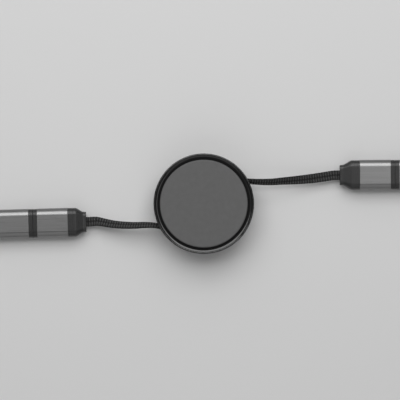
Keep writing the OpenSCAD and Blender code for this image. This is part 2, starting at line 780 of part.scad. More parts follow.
module small_insulator(x) color(black) {
    small_bar(x - plug_root, x + small_base, small_wall + seat_fit);
    translate([x, small_tongue_side - small_w / 2, 0])
        cube([small_l - small_tongue_in, small_w - 2 * small_tongue_side, small_tongue_t]);
}

module small_contacts(x) color(gold) {
    for (k = [-2:2])
        translate([x + small_contact_in, k * small_pitch - small_contact_w / 2, -small_contact_t])
            cube([small_l - 2 * small_contact_in, small_contact_w, small_contact_t]);
}

module left_end_cap() at_left() end_cap(left_w, left_cap_l);
module left_sleeve() at_left() metal_sleeve(left_cap_l, left_s, left_w);
module left_collar() at_left() plug_collar(left_s, left_w);
module left_cable_tail() at_left() cable_tail(left_cap_l);
module left_cable_clamp() at_left() cable_clamp();
module left_plug_board() at_left()
    board(left_cap_l + board_in, left_s - oval_root, left_w - board_side_gap);
module left_oval_shell() at_left() oval_shell(left_s + collar_l / 2);
module left_oval_insulator() at_left() oval_insulator(left_s + collar_l / 2);
module left_adapter_collar() at_left() adapter_collar(left_a, left_w);
module left_adapter_sleeve() at_left() metal_sleeve(left_a, left_a + adapter_l, left_w);
module left_adapter_nose() at_left() adapter_nose(left_a + adapter_l, left_w)
    bar(left_a + adapter_l + nose_l - plug_root, left_a + adapter_l + nose_l + past,
        flat_w + 2 * seat_fit, flat_h + 2 * seat_fit, flat_corner);
module left_socket_shell() at_left() socket_shell(left_seam);
module left_socket_tongue() at_left() socket_tongue(left_seam);
module left_adapter_board() at_left()
    board(left_seam + socket_l, left_a + adapter_l - spigot_l - board_end_gap, left_w - board_side_gap);
module flat_plug_shell() at_left() flat_shell(left_a + adapter_l + nose_l);
module flat_plug_insulator() at_left() flat_insulator(left_a + adapter_l + nose_l);
module flat_plug_contacts() at_left() flat_contacts(left_a + adapter_l + nose_l);

module right_end_cap() at_right() end_cap(right_w, right_cap_l);
module right_sleeve() at_right() metal_sleeve(right_cap_l, right_s, right_w);
module right_collar() at_right() plug_collar(right_s, right_w);
module right_cable_tail() at_right() cable_tail(right_cap_l);
module right_cable_clamp() at_right() cable_clamp();
module right_plug_board() at_right()
    board(right_cap_l + board_in, right_s - oval_root, right_w - board_side_gap);
module right_oval_shell() at_right() oval_shell(right_s + collar_l / 2);
module right_oval_insulator() at_right() oval_insulator(right_s + collar_l / 2);
module right_adapter_collar() at_right() adapter_collar(right_a, right_w);
module right_adapter_sleeve() at_right() metal_sleeve(right_a, right_a + adapter_l, right_w);
module right_adapter_nose() at_right() adapter_nose(right_a + adapter_l, right_w)
    small_bar(right_a + adapter_l + nose_l - plug_root, right_a + adapter_l + nose_l + past, -seat_fit);
module right_socket_shell() at_right() socket_shell(right_seam);
module right_socket_tongue() at_right() socket_tongue(right_seam);
module right_adapter_board() at_right()
    board(right_seam + socket_l, right_a + adapter_l - spigot_l - board_end_gap, right_w - board_side_gap);
module small_plug_shell() at_right() small_shell(right_a + adapter_l + nose_l);
module small_plug_insulator() at_right() small_insulator(right_a + adapter_l + nose_l);
module small_plug_contacts() at_right() small_contacts(right_a + adapter_l + nose_l);

top_face_plate();
bottom_face_plate();
top_bonding_film();
bottom_bonding_film();
upper_shell();
lower_shell();
housing_screw();
spool_drum();
spool_flange();
main_spring();
cable_winding();
latch_pawl();
pawl_pin();
pawl_spring();
left_cable();
right_cable();
left_end_cap();
left_sleeve();
left_collar();
left_cable_tail();
left_cable_clamp();
left_plug_board();
left_oval_shell();
left_oval_insulator();
left_adapter_collar();
left_adapter_sleeve();
left_adapter_nose();
left_socket_shell();
left_socket_tongue();
left_adapter_board();
flat_plug_shell();
flat_plug_insulator();
flat_plug_contacts();
right_end_cap();
right_sleeve();
right_collar();
right_cable_tail();
right_cable_clamp();
right_plug_board();
right_oval_shell();
right_oval_insulator();
right_adapter_collar();
right_adapter_sleeve();
right_adapter_nose();
right_socket_shell();
right_socket_tongue();
right_adapter_board();
small_plug_shell();
small_plug_insulator();
small_plug_contacts();
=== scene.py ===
"""A retractable charging cable: a round sprung reel, a flat braided cable that leaves it on both
sides, and two metal-sleeved plugs with pull-off adapters. Lengths are in millimetres until MM
turns them into metres."""

import json
import math

import bmesh
import bpy
from mathutils import Matrix, Vector

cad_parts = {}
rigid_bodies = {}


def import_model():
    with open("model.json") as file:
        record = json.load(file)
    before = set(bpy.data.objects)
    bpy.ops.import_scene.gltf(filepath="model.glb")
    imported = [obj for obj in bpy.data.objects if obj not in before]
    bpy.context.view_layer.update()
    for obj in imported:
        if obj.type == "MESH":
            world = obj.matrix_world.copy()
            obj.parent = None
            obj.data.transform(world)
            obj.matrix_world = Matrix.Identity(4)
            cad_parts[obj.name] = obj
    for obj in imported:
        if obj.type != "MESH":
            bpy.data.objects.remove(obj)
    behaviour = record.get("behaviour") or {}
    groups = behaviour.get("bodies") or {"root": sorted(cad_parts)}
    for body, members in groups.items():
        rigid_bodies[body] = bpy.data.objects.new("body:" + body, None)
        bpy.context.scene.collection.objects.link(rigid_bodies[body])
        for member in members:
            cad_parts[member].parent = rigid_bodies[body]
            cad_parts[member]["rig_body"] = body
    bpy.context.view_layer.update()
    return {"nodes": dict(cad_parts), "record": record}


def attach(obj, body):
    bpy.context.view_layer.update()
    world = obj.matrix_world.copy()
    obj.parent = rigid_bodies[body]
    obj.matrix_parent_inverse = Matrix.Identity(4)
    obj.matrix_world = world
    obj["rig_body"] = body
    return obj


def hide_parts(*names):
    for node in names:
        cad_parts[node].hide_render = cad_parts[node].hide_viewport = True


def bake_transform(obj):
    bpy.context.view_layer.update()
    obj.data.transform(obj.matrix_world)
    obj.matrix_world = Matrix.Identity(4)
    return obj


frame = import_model()
MM = 0.001
body_of = {
    node: body
    for body, members in frame["record"]["behaviour"]["bodies"].items()
    for node in members
}
slot_of = {row["node"]: row["material_slot"] for row in frame["record"]["subparts"]}

# ---- Sizes, as in the part's source ------------------------------------------------------

# Camera: the picture's width on the table, and the table point under the picture's middle
VIEW_WIDTH = 179.5
VIEW_CENTRE = (-1.7, 1.66)
CAMERA_HEIGHT = 1600.0
VIEW_PLANE = 9.0
SENSOR = 36.0

# Housing: heights and radii, and how deep from its ends the groove's black faces reach
HOUSING_HEIGHT = 14.0
FACE_RADIUS = 19.7
FACE_THICKNESS = 0.8
FACE_EDGE = 0.6
FACE_RINGS = (6.0, 12.0)
GROOVE_RADIUS = 20.8
GROOVE_REACH = 1.5
PLATE_POINTS = 160

# Winding: heights and radii of the cable on the spool. Each strand is left out near the fold,
# and lies still near its leaving point, for so many steps.
WINDING_MIDDLE = 8.6
STRAND_PITCH = 1.35
STRAND_THICKNESS = 1.15
FIRST_RADIUS = 5.95
TURNS_ON = 4.5
LEAVE_ANGLE = 62
TURNING_RADIUS = 17.28
STILL_RADIUS = 17.35
STEPS_PER_TURN = 60
STEPS_AT_FOLD = 7
STEPS_AT_LEAVING = 26
STRAND_POINTS = 16
ACROSS_POWER, OUT_POWER = 0.5, 0.8

# Plugs
PLUG_HEIGHT = 7.4
PLUG_CORNER = 2.9
SLEEVE_WALL = 0.6
COLLAR_LENGTH = 3.7
COLLAR_STEP = 0.12
SEAM = 0.1
SEAT = 0.05
SPIGOT = 2.0
ADAPTER_LENGTH = 16.0
NECK_WIDTH, NECK_HEIGHT, NECK_LENGTH, NECK_CORNER = 9.1, 4.6, 0.9, 1.7
CAP_FLAT = 3.2
CAP_STEPS = 28
CORNER_STEPS = 12
CORNER_EASING = 0.12
SHELL_ROOM = 0.1
OVAL_WIDTH, OVAL_HEIGHT = 8.25, 2.4
SOCKET_WIDTH, SOCKET_HEIGHT = 9.05, 3.2
PLUGS = {
    "left": {"width": 13.1, "cap": 8.2, "sleeve": 13.9, "at": (-52.9, -8.2, 3.7), "turn": 181.6},
    "right": {"width": 13.5, "cap": 8.9, "sleeve": 14.0, "at": (61.2, 12.85, 3.7), "turn": 0.4},
}

# Grooves round a plug: places from the cap's end and on the collar's half, width and depths
CAP_GROOVES = (2.2, 1.0)
COLLAR_GROOVES = (0.62, 1.24)
GROOVE_WIDTH = 0.16
CAP_GROOVE_DEPTH = 0.05
COLLAR_GROOVE_DEPTH = 0.06

# Rooms inside a cap: less than the plug's or the neck's width and height by this, and the corner
BOARD_ROOM = (3.4, 2.6, 1.2)
TAIL_ROOM = (2.8, 1.8, 0.8)

# Radii of rounded edges
EDGES = {
    "neck": 0.22, "cap": 0.06, "sleeve": 0.14, "collar": 0.08, "seam": 0.1,
    "housing": 0.08, "nose": 0.12, "oval": 0.05, "socket": 0.04, "plug": 0.05,
}

# Flat cable: outline of the braid, the groove between its two lobes, its yarns and its core
CABLE_WIDTH = 4.5
CABLE_THICKNESS = 1.35
LOBE_GROOVE = 0.5
GROOVE_SHARE = 0.14
EDGE_POWER = 4.0
CARRIERS = 8
YARNS_EACH = 3
LAY_LENGTH = 9.3
YARN_RADIUS = 0.14
YARN_WAVE = 0.11
YARN_SPREAD = 0.29
YARN_SIDES = 5
RINGS_PER_CROSSING = 8
CORE_POINTS = 20
CORE_INSET = (0.35, 0.3)

# Yarn shades, mostly painted light: a yarn's rise times the first number, or the sum of both for the
# yarns laid the other way, as painted highlights, less a share in the groove and at the edges as
# painted shade, and by chance as the yarns' own random tone
RISE_PAINTED_LIGHT = (0.1, 0.32)
GROOVE_PAINTED_SHADE = 0.7
EDGE_PAINTED_SHADE = 0.75
CHANCE_SHADE = 0.3

# The cables' routes: x, y, z and the turn of the flat section, 90 on edge and 0 flat
LEAD = (8.497, 15.981)
GATE = (19.205, 10.4)


def inside(side, share, turn):
    """A route point on the straight way from the winding to the mouth."""
    x, y = (a + (b - a) * share for a, b in zip(LEAD, GATE))
    return (side * x, side * y, WINDING_MIDDLE, turn)


def first_points(side):
    return [inside(side, 0.015, 90), inside(side, 0.37, 90), inside(side, 0.7, 84), inside(side, 1, 70)]


ROUTES = {
    "right": first_points(1) + [
        (22.4, 9.9, 8.5, 61), (26.6, 9.75, 8.1, 56), (30.6, 9.8, 7.5, 52), (34.6, 10.1, 6.8, 47),
        (38.7, 10.4, 6.1, 40), (42.7, 10.7, 5.4, 30), (46.8, 11.1, 4.8, 19), (50.8, 11.6, 4.3, 10),
        (54.8, 12.2, 3.95, 3), (58, 12.72, 3.75, 0), (60.15, 12.84, 3.7, 0),
        (62.18, 12.86, 3.7, 0),
    ],
    "left": first_points(-1) + [
        (-22.6, -9.7, 8.5, 61), (-26.8, -9.6, 7.9, 56), (-30.9, -9.75, 7.1, 52),
        (-34.9, -9.7, 6.2, 48), (-39, -9.45, 5.3, 43), (-42.6, -8.95, 4.6, 38),
        (-45.6, -8.35, 4.1, 33), (-48.2, -7.95, 3.8, 20), (-50.2, -8.05, 3.7, 7),
        (-51.9, -8.17, 3.7, 0), (-53.88, -8.23, 3.7, 0),
    ],
}

# ---- Camera and light --------------------------------------------------------------------


def make_camera():
    data = bpy.data.cameras.new("camera")
    data.sensor_width = SENSOR
    data.lens = SENSOR * (CAMERA_HEIGHT - VIEW_PLANE) / VIEW_WIDTH
    data.clip_start, data.clip_end = 0.05, 20
    camera = bpy.data.objects.new("camera", data)
    bpy.context.scene.collection.objects.link(camera)
    camera.location = (VIEW_CENTRE[0] * MM, VIEW_CENTRE[1] * MM, CAMERA_HEIGHT * MM)
    bpy.context.scene.camera = camera


# Softboxes round the reel: degrees clockwise from +Y seen from above, degrees up, distance,
# width, height and radiance
SOFTBOXES = {
    "key_low": (-5, 27, 0.9, 1.1, 0.45, 0.8),
    "key_middle": (-5, 48, 0.9, 1.1, 0.35, 2.8),
    "key_high": (-5, 70, 0.9, 1.1, 0.3, 3.3),
    "top_left": (-90, 72, 1.25, 0.5, 0.6, 0.15),
    "top_right": (90, 72, 1.25, 0.5, 0.6, 0.8),
    "front_high": (180, 55, 0.9, 1.1, 0.4, 0.5),
    "front_low": (180, 25, 0.9, 1.1, 0.5, 0.4),
}
AMBIENT = 0.15


def softbox(name, azimuth, elevation, distance, width, height, radiance):
    """A panel that faces the reel and shines equally bright all over."""
    around, up = math.radians(azimuth), math.radians(elevation)
    place = (math.sin(around) * math.cos(up), math.cos(around) * math.cos(up), math.sin(up))
    place = Vector(place) * distance
    data = bpy.data.lights.new(name, "AREA")
    data.shape = "RECTANGLE"
    data.size, data.size_y = width, height
    data.energy = radiance * math.pi * width * height
    lamp = bpy.data.objects.new(name, data)
    bpy.context.scene.collection.objects.link(lamp)
    lamp.location = place
    lamp.rotation_euler = (-place).to_track_quat("-Z", "Y").to_euler()
    lamp.visible_camera = False


def make_world(strength):
    world = bpy.data.worlds.new("studio")
    world.use_nodes = True
    background = world.node_tree.nodes["Background"]
    background.inputs["Color"].default_value = (1, 1, 1, 1)
    background.inputs["Strength"].default_value = strength
    bpy.context.scene.world = world


# ---- Materials ---------------------------------------------------------------------------


def grey(level):
    """A neutral linear colour from a screen level of 0-255."""
    s = level / 255
    linear = s / 12.92 if s <= 0.04045 else ((s + 0.055) / 1.055) ** 2.4
    return (linear, linear, linear)


class Finish:
    """A Principled material with short ways to add its colour, roughness and relief."""

    def __init__(self, name, colour, roughness, metallic=0.0, **fixed):
        self.material = bpy.data.materials.new(name)
        self.material.use_nodes = True
        self.nodes = self.material.node_tree.nodes
        self.links = self.material.node_tree.links
        self.shader = self.nodes["Principled BSDF"]
        values = {"Base Color": (*colour, 1), "Roughness": roughness, "Metallic": metallic}
        values.update({socket.replace("_", " "): value for socket, value in fixed.items()})
        for socket, value in values.items():
            self.shader.inputs[socket].default_value = value
        self.place = self.nodes.new("ShaderNodeTexCoord").outputs["Object"]

    def node(self, kind, settings=None, **sockets):
        node = self.nodes.new(kind)
        for key, value in (settings or {}).items():
            setattr(node, key, value)
        for key, value in sockets.items():
            socket = node.inputs[key.replace("_", " ")]
            if isinstance(value, bpy.types.NodeSocket):
                self.links.new(value, socket)
            else:
                socket.default_value = value
        return node

    def noise(self, scale, detail=3.0, stretch=(1, 1, 1)):
        place = self.node("ShaderNodeMapping", Vector=self.place, Scale=stretch).outputs["Vector"]
        return self.node("ShaderNodeTexNoise", Vector=place, Scale=scale, Detail=detail).outputs["Fac"]

    def span(self, source, low, high):
        """The middle of a noise's run, mapped to low-high."""
        node = self.node("ShaderNodeMapRange", Value=source, From_Min=0.3, From_Max=0.7,
                         To_Min=low, To_Max=high)
        return node.outputs["Result"]

    def shades(self, source, dark, light, low=0.3, high=0.7):
        """Base colour that runs from dark to light as a value runs from low to high."""
        ramp = self.node("ShaderNodeValToRGB", Fac=source)
        stops = ramp.color_ramp.elements
        stops[0].position, stops[0].color = low, (*dark, 1)
        stops[1].position, stops[1].color = high, (*light, 1)
        self.links.new(ramp.outputs["Color"], self.shader.inputs["Base Color"])

    def rough(self, source, low, high):
        self.links.new(self.span(source, low, high), self.shader.inputs["Roughness"])

    def relief(self, source, depth, strength=1.0):
        node = self.node("ShaderNodeBump", Height=source, Strength=strength, Distance=depth * MM)
        self.links.new(node.outputs["Normal"], self.shader.inputs["Normal"])


def make_finishes():
    made = {}

    face = made["face_plate"] = Finish("blasted_face", grey(90), 0.5, Specular_IOR_Level=0.3)
    face.shades(face.noise(420, 4), grey(88), grey(92))
    face.rough(face.noise(2500), 0.5, 0.62)
    face.relief(face.noise(9000, 2), 0.012)

    shell = made["housing_plastic"] = Finish("black_gloss", grey(6), 0.2, Specular_IOR_Level=0.75)
    shell.shades(shell.noise(600), grey(4), grey(8))
    shell.rough(shell.noise(1800), 0.11, 0.16)
    shell.relief(shell.noise(4000), 0.002)

    groove = made["groove"] = Finish("groove_black", grey(8), 0.85, Specular_IOR_Level=0.2)
    groove.shades(groove.noise(900), grey(6), grey(10))

    cap = made["plug_plastic"] = Finish("charcoal_satin", grey(38), 0.3)
    cap.shades(cap.noise(900), grey(35), grey(41))
    cap.rough(cap.noise(2600), 0.26, 0.35)
    cap.relief(cap.noise(9000), 0.008)

    sleeve = made["sleeve_metal"] = Finish("satin_sleeve", grey(132), 0.22, metallic=1.0)
    sleeve.shades(sleeve.noise(900, 5, (0.06, 4, 4)), grey(128), grey(136))
    sleeve.rough(sleeve.noise(1400, 4, (0.05, 6, 6)), 0.27, 0.34)
    sleeve.relief(sleeve.noise(1800, 4, (0.04, 6, 6)), 0.003)

    plated = made["connector_steel"] = Finish("nickel_plate", grey(205), 0.25, metallic=1.0)
    plated.shades(plated.noise(1500), grey(200), grey(210))
    plated.rough(plated.noise(1200, 3, (0.3, 3, 3)), 0.24, 0.29)

    spring = made["spring_steel"] = Finish("spring_steel", grey(180), 0.3, metallic=1.0)
    spring.shades(spring.noise(1500), grey(172), grey(188))
    spring.rough(spring.noise(1200), 0.25, 0.35)

    gold = made["contact_gold"] = Finish("gold_plate", (0.72, 0.5, 0.17), 0.25, metallic=1.0)
    gold.rough(gold.noise(3000), 0.2, 0.32)

    insulator = made["insulator"] = Finish("black_insulator", grey(30), 0.5)
    insulator.shades(insulator.noise(2500), grey(27), grey(34))
    insulator.relief(insulator.noise(9000), 0.005)

    board = made["circuit_board"] = Finish("green_board", (0.01, 0.05, 0.03), 0.35)
    board.shades(board.noise(1500), (0.008, 0.04, 0.022), (0.014, 0.065, 0.04))

    film = made["bonding_film"] = Finish("bonding_film", grey(170), 0.5)
    film.shades(film.noise(800), grey(160), grey(178))

    spool = made["spool_plastic"] = Finish("spool_plastic", grey(70), 0.45)
    spool.shades(spool.noise(1200), grey(64), grey(75))
    spool.relief(spool.noise(8000), 0.005)

    jacket = made["cable_jacket"] = Finish("black_jacket", grey(18), 0.6)
    jacket.shades(jacket.noise(2000), grey(15), grey(22))

    yarn = made["braid"] = Finish("braid_yarn", grey(34), 0.6, Specular_IOR_Level=0.2)
    # Base colour from the painted light and shade that the braid tree stores on the yarns, with their
    # own random tone
    painted_light_and_tone = yarn.node("ShaderNodeAttribute", {"attribute_name": "painted_light_and_tone"}).outputs["Fac"]
    yarn.shades(painted_light_and_tone, grey(10), grey(112), 0, 1)
    yarn.relief(yarn.noise(14000, 2), 0.02)

    wound = made["braid_wound"] = Finish("braid_on_the_spool", grey(34), 0.55)
    wound.shades(wound.noise(2200, 4), grey(22), grey(48))
    wound.relief(wound.noise(5000, 3), 0.05)
    return made


def dress(piece, *slots):
    piece.data.materials.clear()
    for slot in slots:
        piece.data.materials.append(finishes[slot].material)


# ---- Pieces ------------------------------------------------------------------------------

# Clean-up of merged pieces, in metres and degrees
SAME_POINT = 1e-6
SLIVER = 6e-6
FLAT_ANGLE = 0.6
BEVEL_ANGLE = 40


def link(name, mesh):
    piece = bpy.data.objects.new(name, mesh)
    bpy.context.scene.collection.objects.link(piece)
    return piece


def round_off(piece, sharp=35):
    """Smooth shading with creases where faces meet at more than an angle."""
    mesh = piece.data
    mesh.polygons.foreach_set("use_smooth", [True] * len(mesh.polygons))
    mesh.set_sharp_from_angle(angle=math.radians(sharp))


def stand_for(piece, node):
    """The piece takes the node's place and body."""
    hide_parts(node)
    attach(piece, body_of[node])


def loft(name, rings, closed=False, place=None):
    """A surface over rings of equally many points, closed into a loop or capped at its ends."""
    count = len(rings[0])
    steps = len(rings) if closed else len(rings) - 1
    faces = []
    for k in range(steps):
        a, b = k * count, (k + 1) % len(rings) * count
        for i in range(count):
            j = (i + 1) % count
            faces.append((a + i, a + j, b + j, b + i))
    if not closed:
        faces.append(tuple(range(count - 1, -1, -1)))
        faces.append(tuple((len(rings) - 1) * count + i for i in range(count)))
    mesh = bpy.data.meshes.new(name)
    mesh.from_pydata([Vector(p) * MM for ring in rings for p in ring], [], faces)
    if place:
        mesh.transform(place)
    tidy = bmesh.new()
    tidy.from_mesh(mesh)
    bmesh.ops.remove_doubles(tidy, verts=tidy.verts, dist=1e-7)
    bmesh.ops.recalc_face_normals(tidy, faces=tidy.faces)
    tidy.to_mesh(mesh)
    tidy.free()
    return link(name, mesh)


def work_in(piece, name, kind, **settings):
    """Adds a modifier and works it into the piece's mesh."""
    modifier = piece.modifiers.new(name, kind)
    for key, value in settings.items():
        setattr(modifier, key, value)
    graph = bpy.context.evaluated_depsgraph_get()
    piece.data = bpy.data.meshes.new_from_object(piece.evaluated_get(graph))
    piece.modifiers.clear()


def clean_up(mesh, flat=0.0):
    """Merges double points, drops slivers and, if given an angle, joins nearly flat faces."""
    tidy = bmesh.new()
    tidy.from_mesh(mesh)
    bmesh.ops.remove_doubles(tidy, verts=tidy.verts, dist=SAME_POINT)
    if flat:
        bmesh.ops.dissolve_limit(tidy, angle_limit=math.radians(flat), verts=tidy.verts,
                                 edges=tidy.edges)
    bmesh.ops.dissolve_degenerate(tidy, dist=SLIVER, edges=tidy.edges)
    tidy.to_mesh(mesh)
    tidy.free()


def refined(node, edge=0.0, sharp=35):
    """A merged copy of a solid with smooth shading, its hard edges rounded if edge is given."""
    piece = link(node + "_refined", frame["nodes"][node].data.copy())
    if edge:
        clean_up(piece.data, FLAT_ANGLE)
        work_in(piece, "edges", "BEVEL", width=edge * MM, segments=2, limit_method="ANGLE",
                angle_limit=math.radians(BEVEL_ANGLE))
    clean_up(piece.data)
    round_off(piece, sharp)
    if edge:
        work_in(piece, "normals", "WEIGHTED_NORMAL", weight=90, keep_sharp=True)
    dress(piece, slot_of[node])
    stand_for(piece, node)
    return piece


# ---- Housing -----------------------------------------------------------------------------


def make_face_plate(node, up):
    """A round plate with a softly rounded edge, its face at the height of the housing's end."""
    outer = FACE_RADIUS
    profile = [(r, 0) for r in (*FACE_RINGS, outer - FACE_EDGE - 0.3)]
    for k in range(9):
        a = math.radians(90 * k / 8)
        profile.append((outer - FACE_EDGE + FACE_EDGE * math.sin(a), FACE_EDGE * (1 - math.cos(a))))
    profile += [(outer, FACE_THICKNESS - 0.05), (outer - 0.05, FACE_THICKNESS)]
    profile += [(r, FACE_THICKNESS) for r in reversed(FACE_RINGS)]
    round_it = [math.tau * i / PLATE_POINTS for i in range(PLATE_POINTS)]
    rings = []
    for r, depth in profile:
        height = HOUSING_HEIGHT - depth if up else depth
        rings.append([(r * math.cos(a), r * math.sin(a), height) for a in round_it])
    plate = loft(node + "_turned", rings)
    round_off(plate)
    dress(plate, "face_plate")
    stand_for(plate, node)


def make_housing():
    make_face_plate("top_face_plate", True)
    make_face_plate("bottom_face_plate", False)
    for node in ("upper_shell", "lower_shell"):
        shell = refined(node, EDGES["housing"])
        dress(shell, "housing_plastic", "groove")
        for face in shell.data.polygons:
            reach = math.hypot(face.center.x, face.center.y) / MM
            deep = min(face.center.z, HOUSING_HEIGHT * MM - face.center.z) / MM
            if reach < GROOVE_RADIUS + 0.02 and deep < GROOVE_REACH:
                face.material_index = 1
    for node in ("top_bonding_film", "bottom_bonding_film", "housing_screw", "spool_drum",
                 "spool_flange", "main_spring", "latch_pawl", "pawl_pin", "pawl_spring"):
        refined(node)


def spiral(r0, r1, start, turns):
    steps = round(STEPS_PER_TURN * turns)
    made = []
    for i in range(steps + 1):
        s = i / steps
        a, r = math.radians(start - 360 * turns * s), r0 + (r1 - r0) * s
        made.append((r * math.cos(a), r * math.sin(a)))
    return made


def strand_ring(line, k, low, high):
    """Section of a wound strand at a point of its line, kept between two radii."""
    p, q = line[max(k - 1, 0)], line[min(k + 1, len(line) - 1)]
    size = math.dist(p, q)
    side = ((q[1] - p[1]) / size, (p[0] - q[0]) / size)
    ring = []
    for i in range(STRAND_POINTS):
        a = math.tau * i / STRAND_POINTS
        across = math.copysign(abs(math.sin(a)) ** ACROSS_POWER, math.sin(a)) * CABLE_WIDTH / 2
        out = math.copysign(abs(math.cos(a)) ** OUT_POWER, math.cos(a)) * STRAND_THICKNESS / 2
        x, y = line[k][0] + side[0] * out, line[k][1] + side[1] * out
        kept = min(max(math.hypot(x, y), low), high) / math.hypot(x, y)
        ring.append((x * kept, y * kept, WINDING_MIDDLE + across))
    return ring


def wound_piece(name, line, low, high, body):
    piece = loft(name, [strand_ring(line, k, low, high) for k in range(len(line))])
    round_off(piece, 60)
    dress(piece, "braid_wound")
    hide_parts("cable_winding")
    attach(piece, body)


def make_winding():
    """The cable on the spool: both strands wind outwards together from a fold at the hub. What
    lies outside the turning radius, near the end of each strand, stays with the housing."""
    start = LEAVE_ANGLE + 360 * TURNS_ON
    last = FIRST_RADIUS + 2 * STRAND_PITCH * TURNS_ON
    a0 = math.radians(start)
    half = STRAND_PITCH / 2
    fold = [(FIRST_RADIUS + half) * math.cos(a0), (FIRST_RADIUS + half) * math.sin(a0)]
    first = spiral(FIRST_RADIUS, last, start, TURNS_ON)
    second = spiral(FIRST_RADIUS + STRAND_PITCH, last, start, TURNS_ON - 0.5)
    line = first[-STEPS_AT_FOLD - 1::-1]
    for turn in range(30, 151, 30):
        b = math.radians(start + 180 - turn)
        line.append((fold[0] + half * math.cos(b), fold[1] + half * math.sin(b)))
    line += second[:-STEPS_AT_FOLD]
    wound_piece("cable_wound_double", line, 0, TURNING_RADIUS, "spool")
    for name, strand in (("first", first), ("second", second)):
        wound_piece("cable_last_turn_" + name, strand[-STEPS_AT_LEAVING - 1:], STILL_RADIUS, math.inf,
                    "housing")


# ---- Plugs -------------------------------------------------------------------------------


def section(x, w, h, r):
    """Rounded rectangle across the plug's axis, with points beside each corner on its flats."""
    half = min(w, h) / 2
    easing = min(CORNER_EASING, 0.4 * (half - r)) if half > r + 0.01 else 0

    def beside(point, a):
        return (point[0] + easing * math.cos(a), point[1] + easing * math.sin(a))

    ring = []
    for k, (sy, sz) in enumerate(((1, 1), (-1, 1), (-1, -1), (1, -1))):
        cy, cz = sy * (w / 2 - r), sz * (h / 2 - r)
        arc = [math.radians(90 * k + 90 * i / CORNER_STEPS) for i in range(CORNER_STEPS + 1)]
        points = [(cy + r * math.cos(a), cz + r * math.sin(a)) for a in arc]
        first = beside(points[0], arc[0] - math.pi / 2)
        final = beside(points[-1], arc[-1] + math.pi / 2)
        ring += [(x, *first)] + [(x, *p) for p in points] + [(x, *final)]
    return ring


def inset(x, size, d):
    """Section of (width, height, corner) with every side moved in by d."""
    w, h, r = size
    return section(x, w - 2 * d, h - 2 * d, r - d)


def eased_end(x, size, b, along):
    """Sections round an outer edge of radius b; along is 1 at a piece's start and -1 at its end."""
    made = []
    for k in range(4):
        a = math.radians(30 * k)
        made.append(inset(x + along * b * (1 - math.cos(a)), size, b * (1 - math.sin(a))))
    made.append(inset(x + along * (b + 0.08), size, 0))
    return made if along > 0 else made[::-1]


def grooved(x, size, width, depth):
    """Sections of a fine groove round the plug."""
    half = width / 2
    places = ((-half - 0.05, 0), (-half, 0), (-half * 0.5, depth),
              (half * 0.5, depth), (half, 0), (half + 0.05, 0))
    return [inset(x + away, size, d) for away, d in places]


def swell(s):
    return s * s * (3 - 2 * s)


def eased(s):
    """A straight run from 0 to 1 that is rounded over its first and last seventh."""
    turn = 1 / 7
    if s > 0.5:
        return 1 - eased(1 - s)
    return (s * s / (2 * turn) if s < turn else s - turn / 2) / (1 - turn)


def body_size(width):
    """Width, height and corner of a cap or collar beside a sleeve of this width."""
    return (width - 2 * COLLAR_STEP, PLUG_HEIGHT - 2 * COLLAR_STEP, PLUG_CORNER - COLLAR_STEP)


def spigot_size(width):
    """Width, height and corner of the end that sits inside a sleeve of this width."""
    return (width - 2 * (SLEEVE_WALL + SEAT), PLUG_HEIGHT - 2 * (SLEEVE_WALL + SEAT),
            PLUG_CORNER - SLEEVE_WALL - SEAT)


def make_cap(side, place):
    """A tapered cap: neck, taper and flat outside, then its spigot, rooms and cable passage."""
    w, l = PLUGS[side]["width"], PLUGS[side]["cap"]
    body, spigot = body_size(w), spigot_size(w)
    neck = (NECK_WIDTH, NECK_HEIGHT, NECK_CORNER)
    rings = eased_end(0, neck, EDGES["neck"], 1)
    taper = l - CAP_FLAT - NECK_LENGTH
    for k in range(CAP_STEPS + 1):
        s = k / CAP_STEPS
        shares = (swell(s), eased(s), swell(s))
        size = (a + (b - a) * share for a, b, share in zip(neck, body, shares))
        rings.append(section(NECK_LENGTH + taper * s, *size))
    for back in CAP_GROOVES:
        rings += grooved(l - back, body, GROOVE_WIDTH, CAP_GROOVE_DEPTH)
    rings += eased_end(l, body, EDGES["cap"], -1)
    cavity = (w - BOARD_ROOM[0], PLUG_HEIGHT - BOARD_ROOM[1], BOARD_ROOM[2])
    pocket = (NECK_WIDTH - TAIL_ROOM[0], NECK_HEIGHT - TAIL_ROOM[1], TAIL_ROOM[2])
    passage = (CABLE_WIDTH + 2 * SEAT, CABLE_THICKNESS + SEAT, 0.4)
    mouth = (CABLE_WIDTH + 0.5, CABLE_THICKNESS + 0.45, 0.6)
    rings += [section(l, *spigot), section(l + SPIGOT - 0.2, *spigot), inset(l + SPIGOT, spigot, 0.15)]
    rings += [section(l + SPIGOT, *cavity), section(l - CAP_FLAT, *cavity)]
    rings += [section(l - CAP_FLAT, *pocket), section(NECK_LENGTH + 1, *pocket)]
    rings += [section(NECK_LENGTH + 1, *passage), section(1, *passage), section(1, *mouth)]
    rings += [section(0.12, *mouth), inset(0, mouth, -0.12)]
    cap = loft(side + "_tapered_cap", rings, True, place)
    round_off(cap)
    dress(cap, "plug_plastic")
    stand_for(cap, side + "_end_cap")


def make_sleeve(name, node, x0, x1, width, place):
    size = (width, PLUG_HEIGHT, PLUG_CORNER)
    rings = eased_end(x0, size, EDGES["sleeve"], 1) + eased_end(x1, size, EDGES["sleeve"], -1)
    rings += [inset(x1, size, SLEEVE_WALL), inset(x0, size, SLEEVE_WALL)]
    sleeve = loft(name, rings, True, place)
    round_off(sleeve)
    dress(sleeve, "sleeve_metal")
    stand_for(sleeve, node)


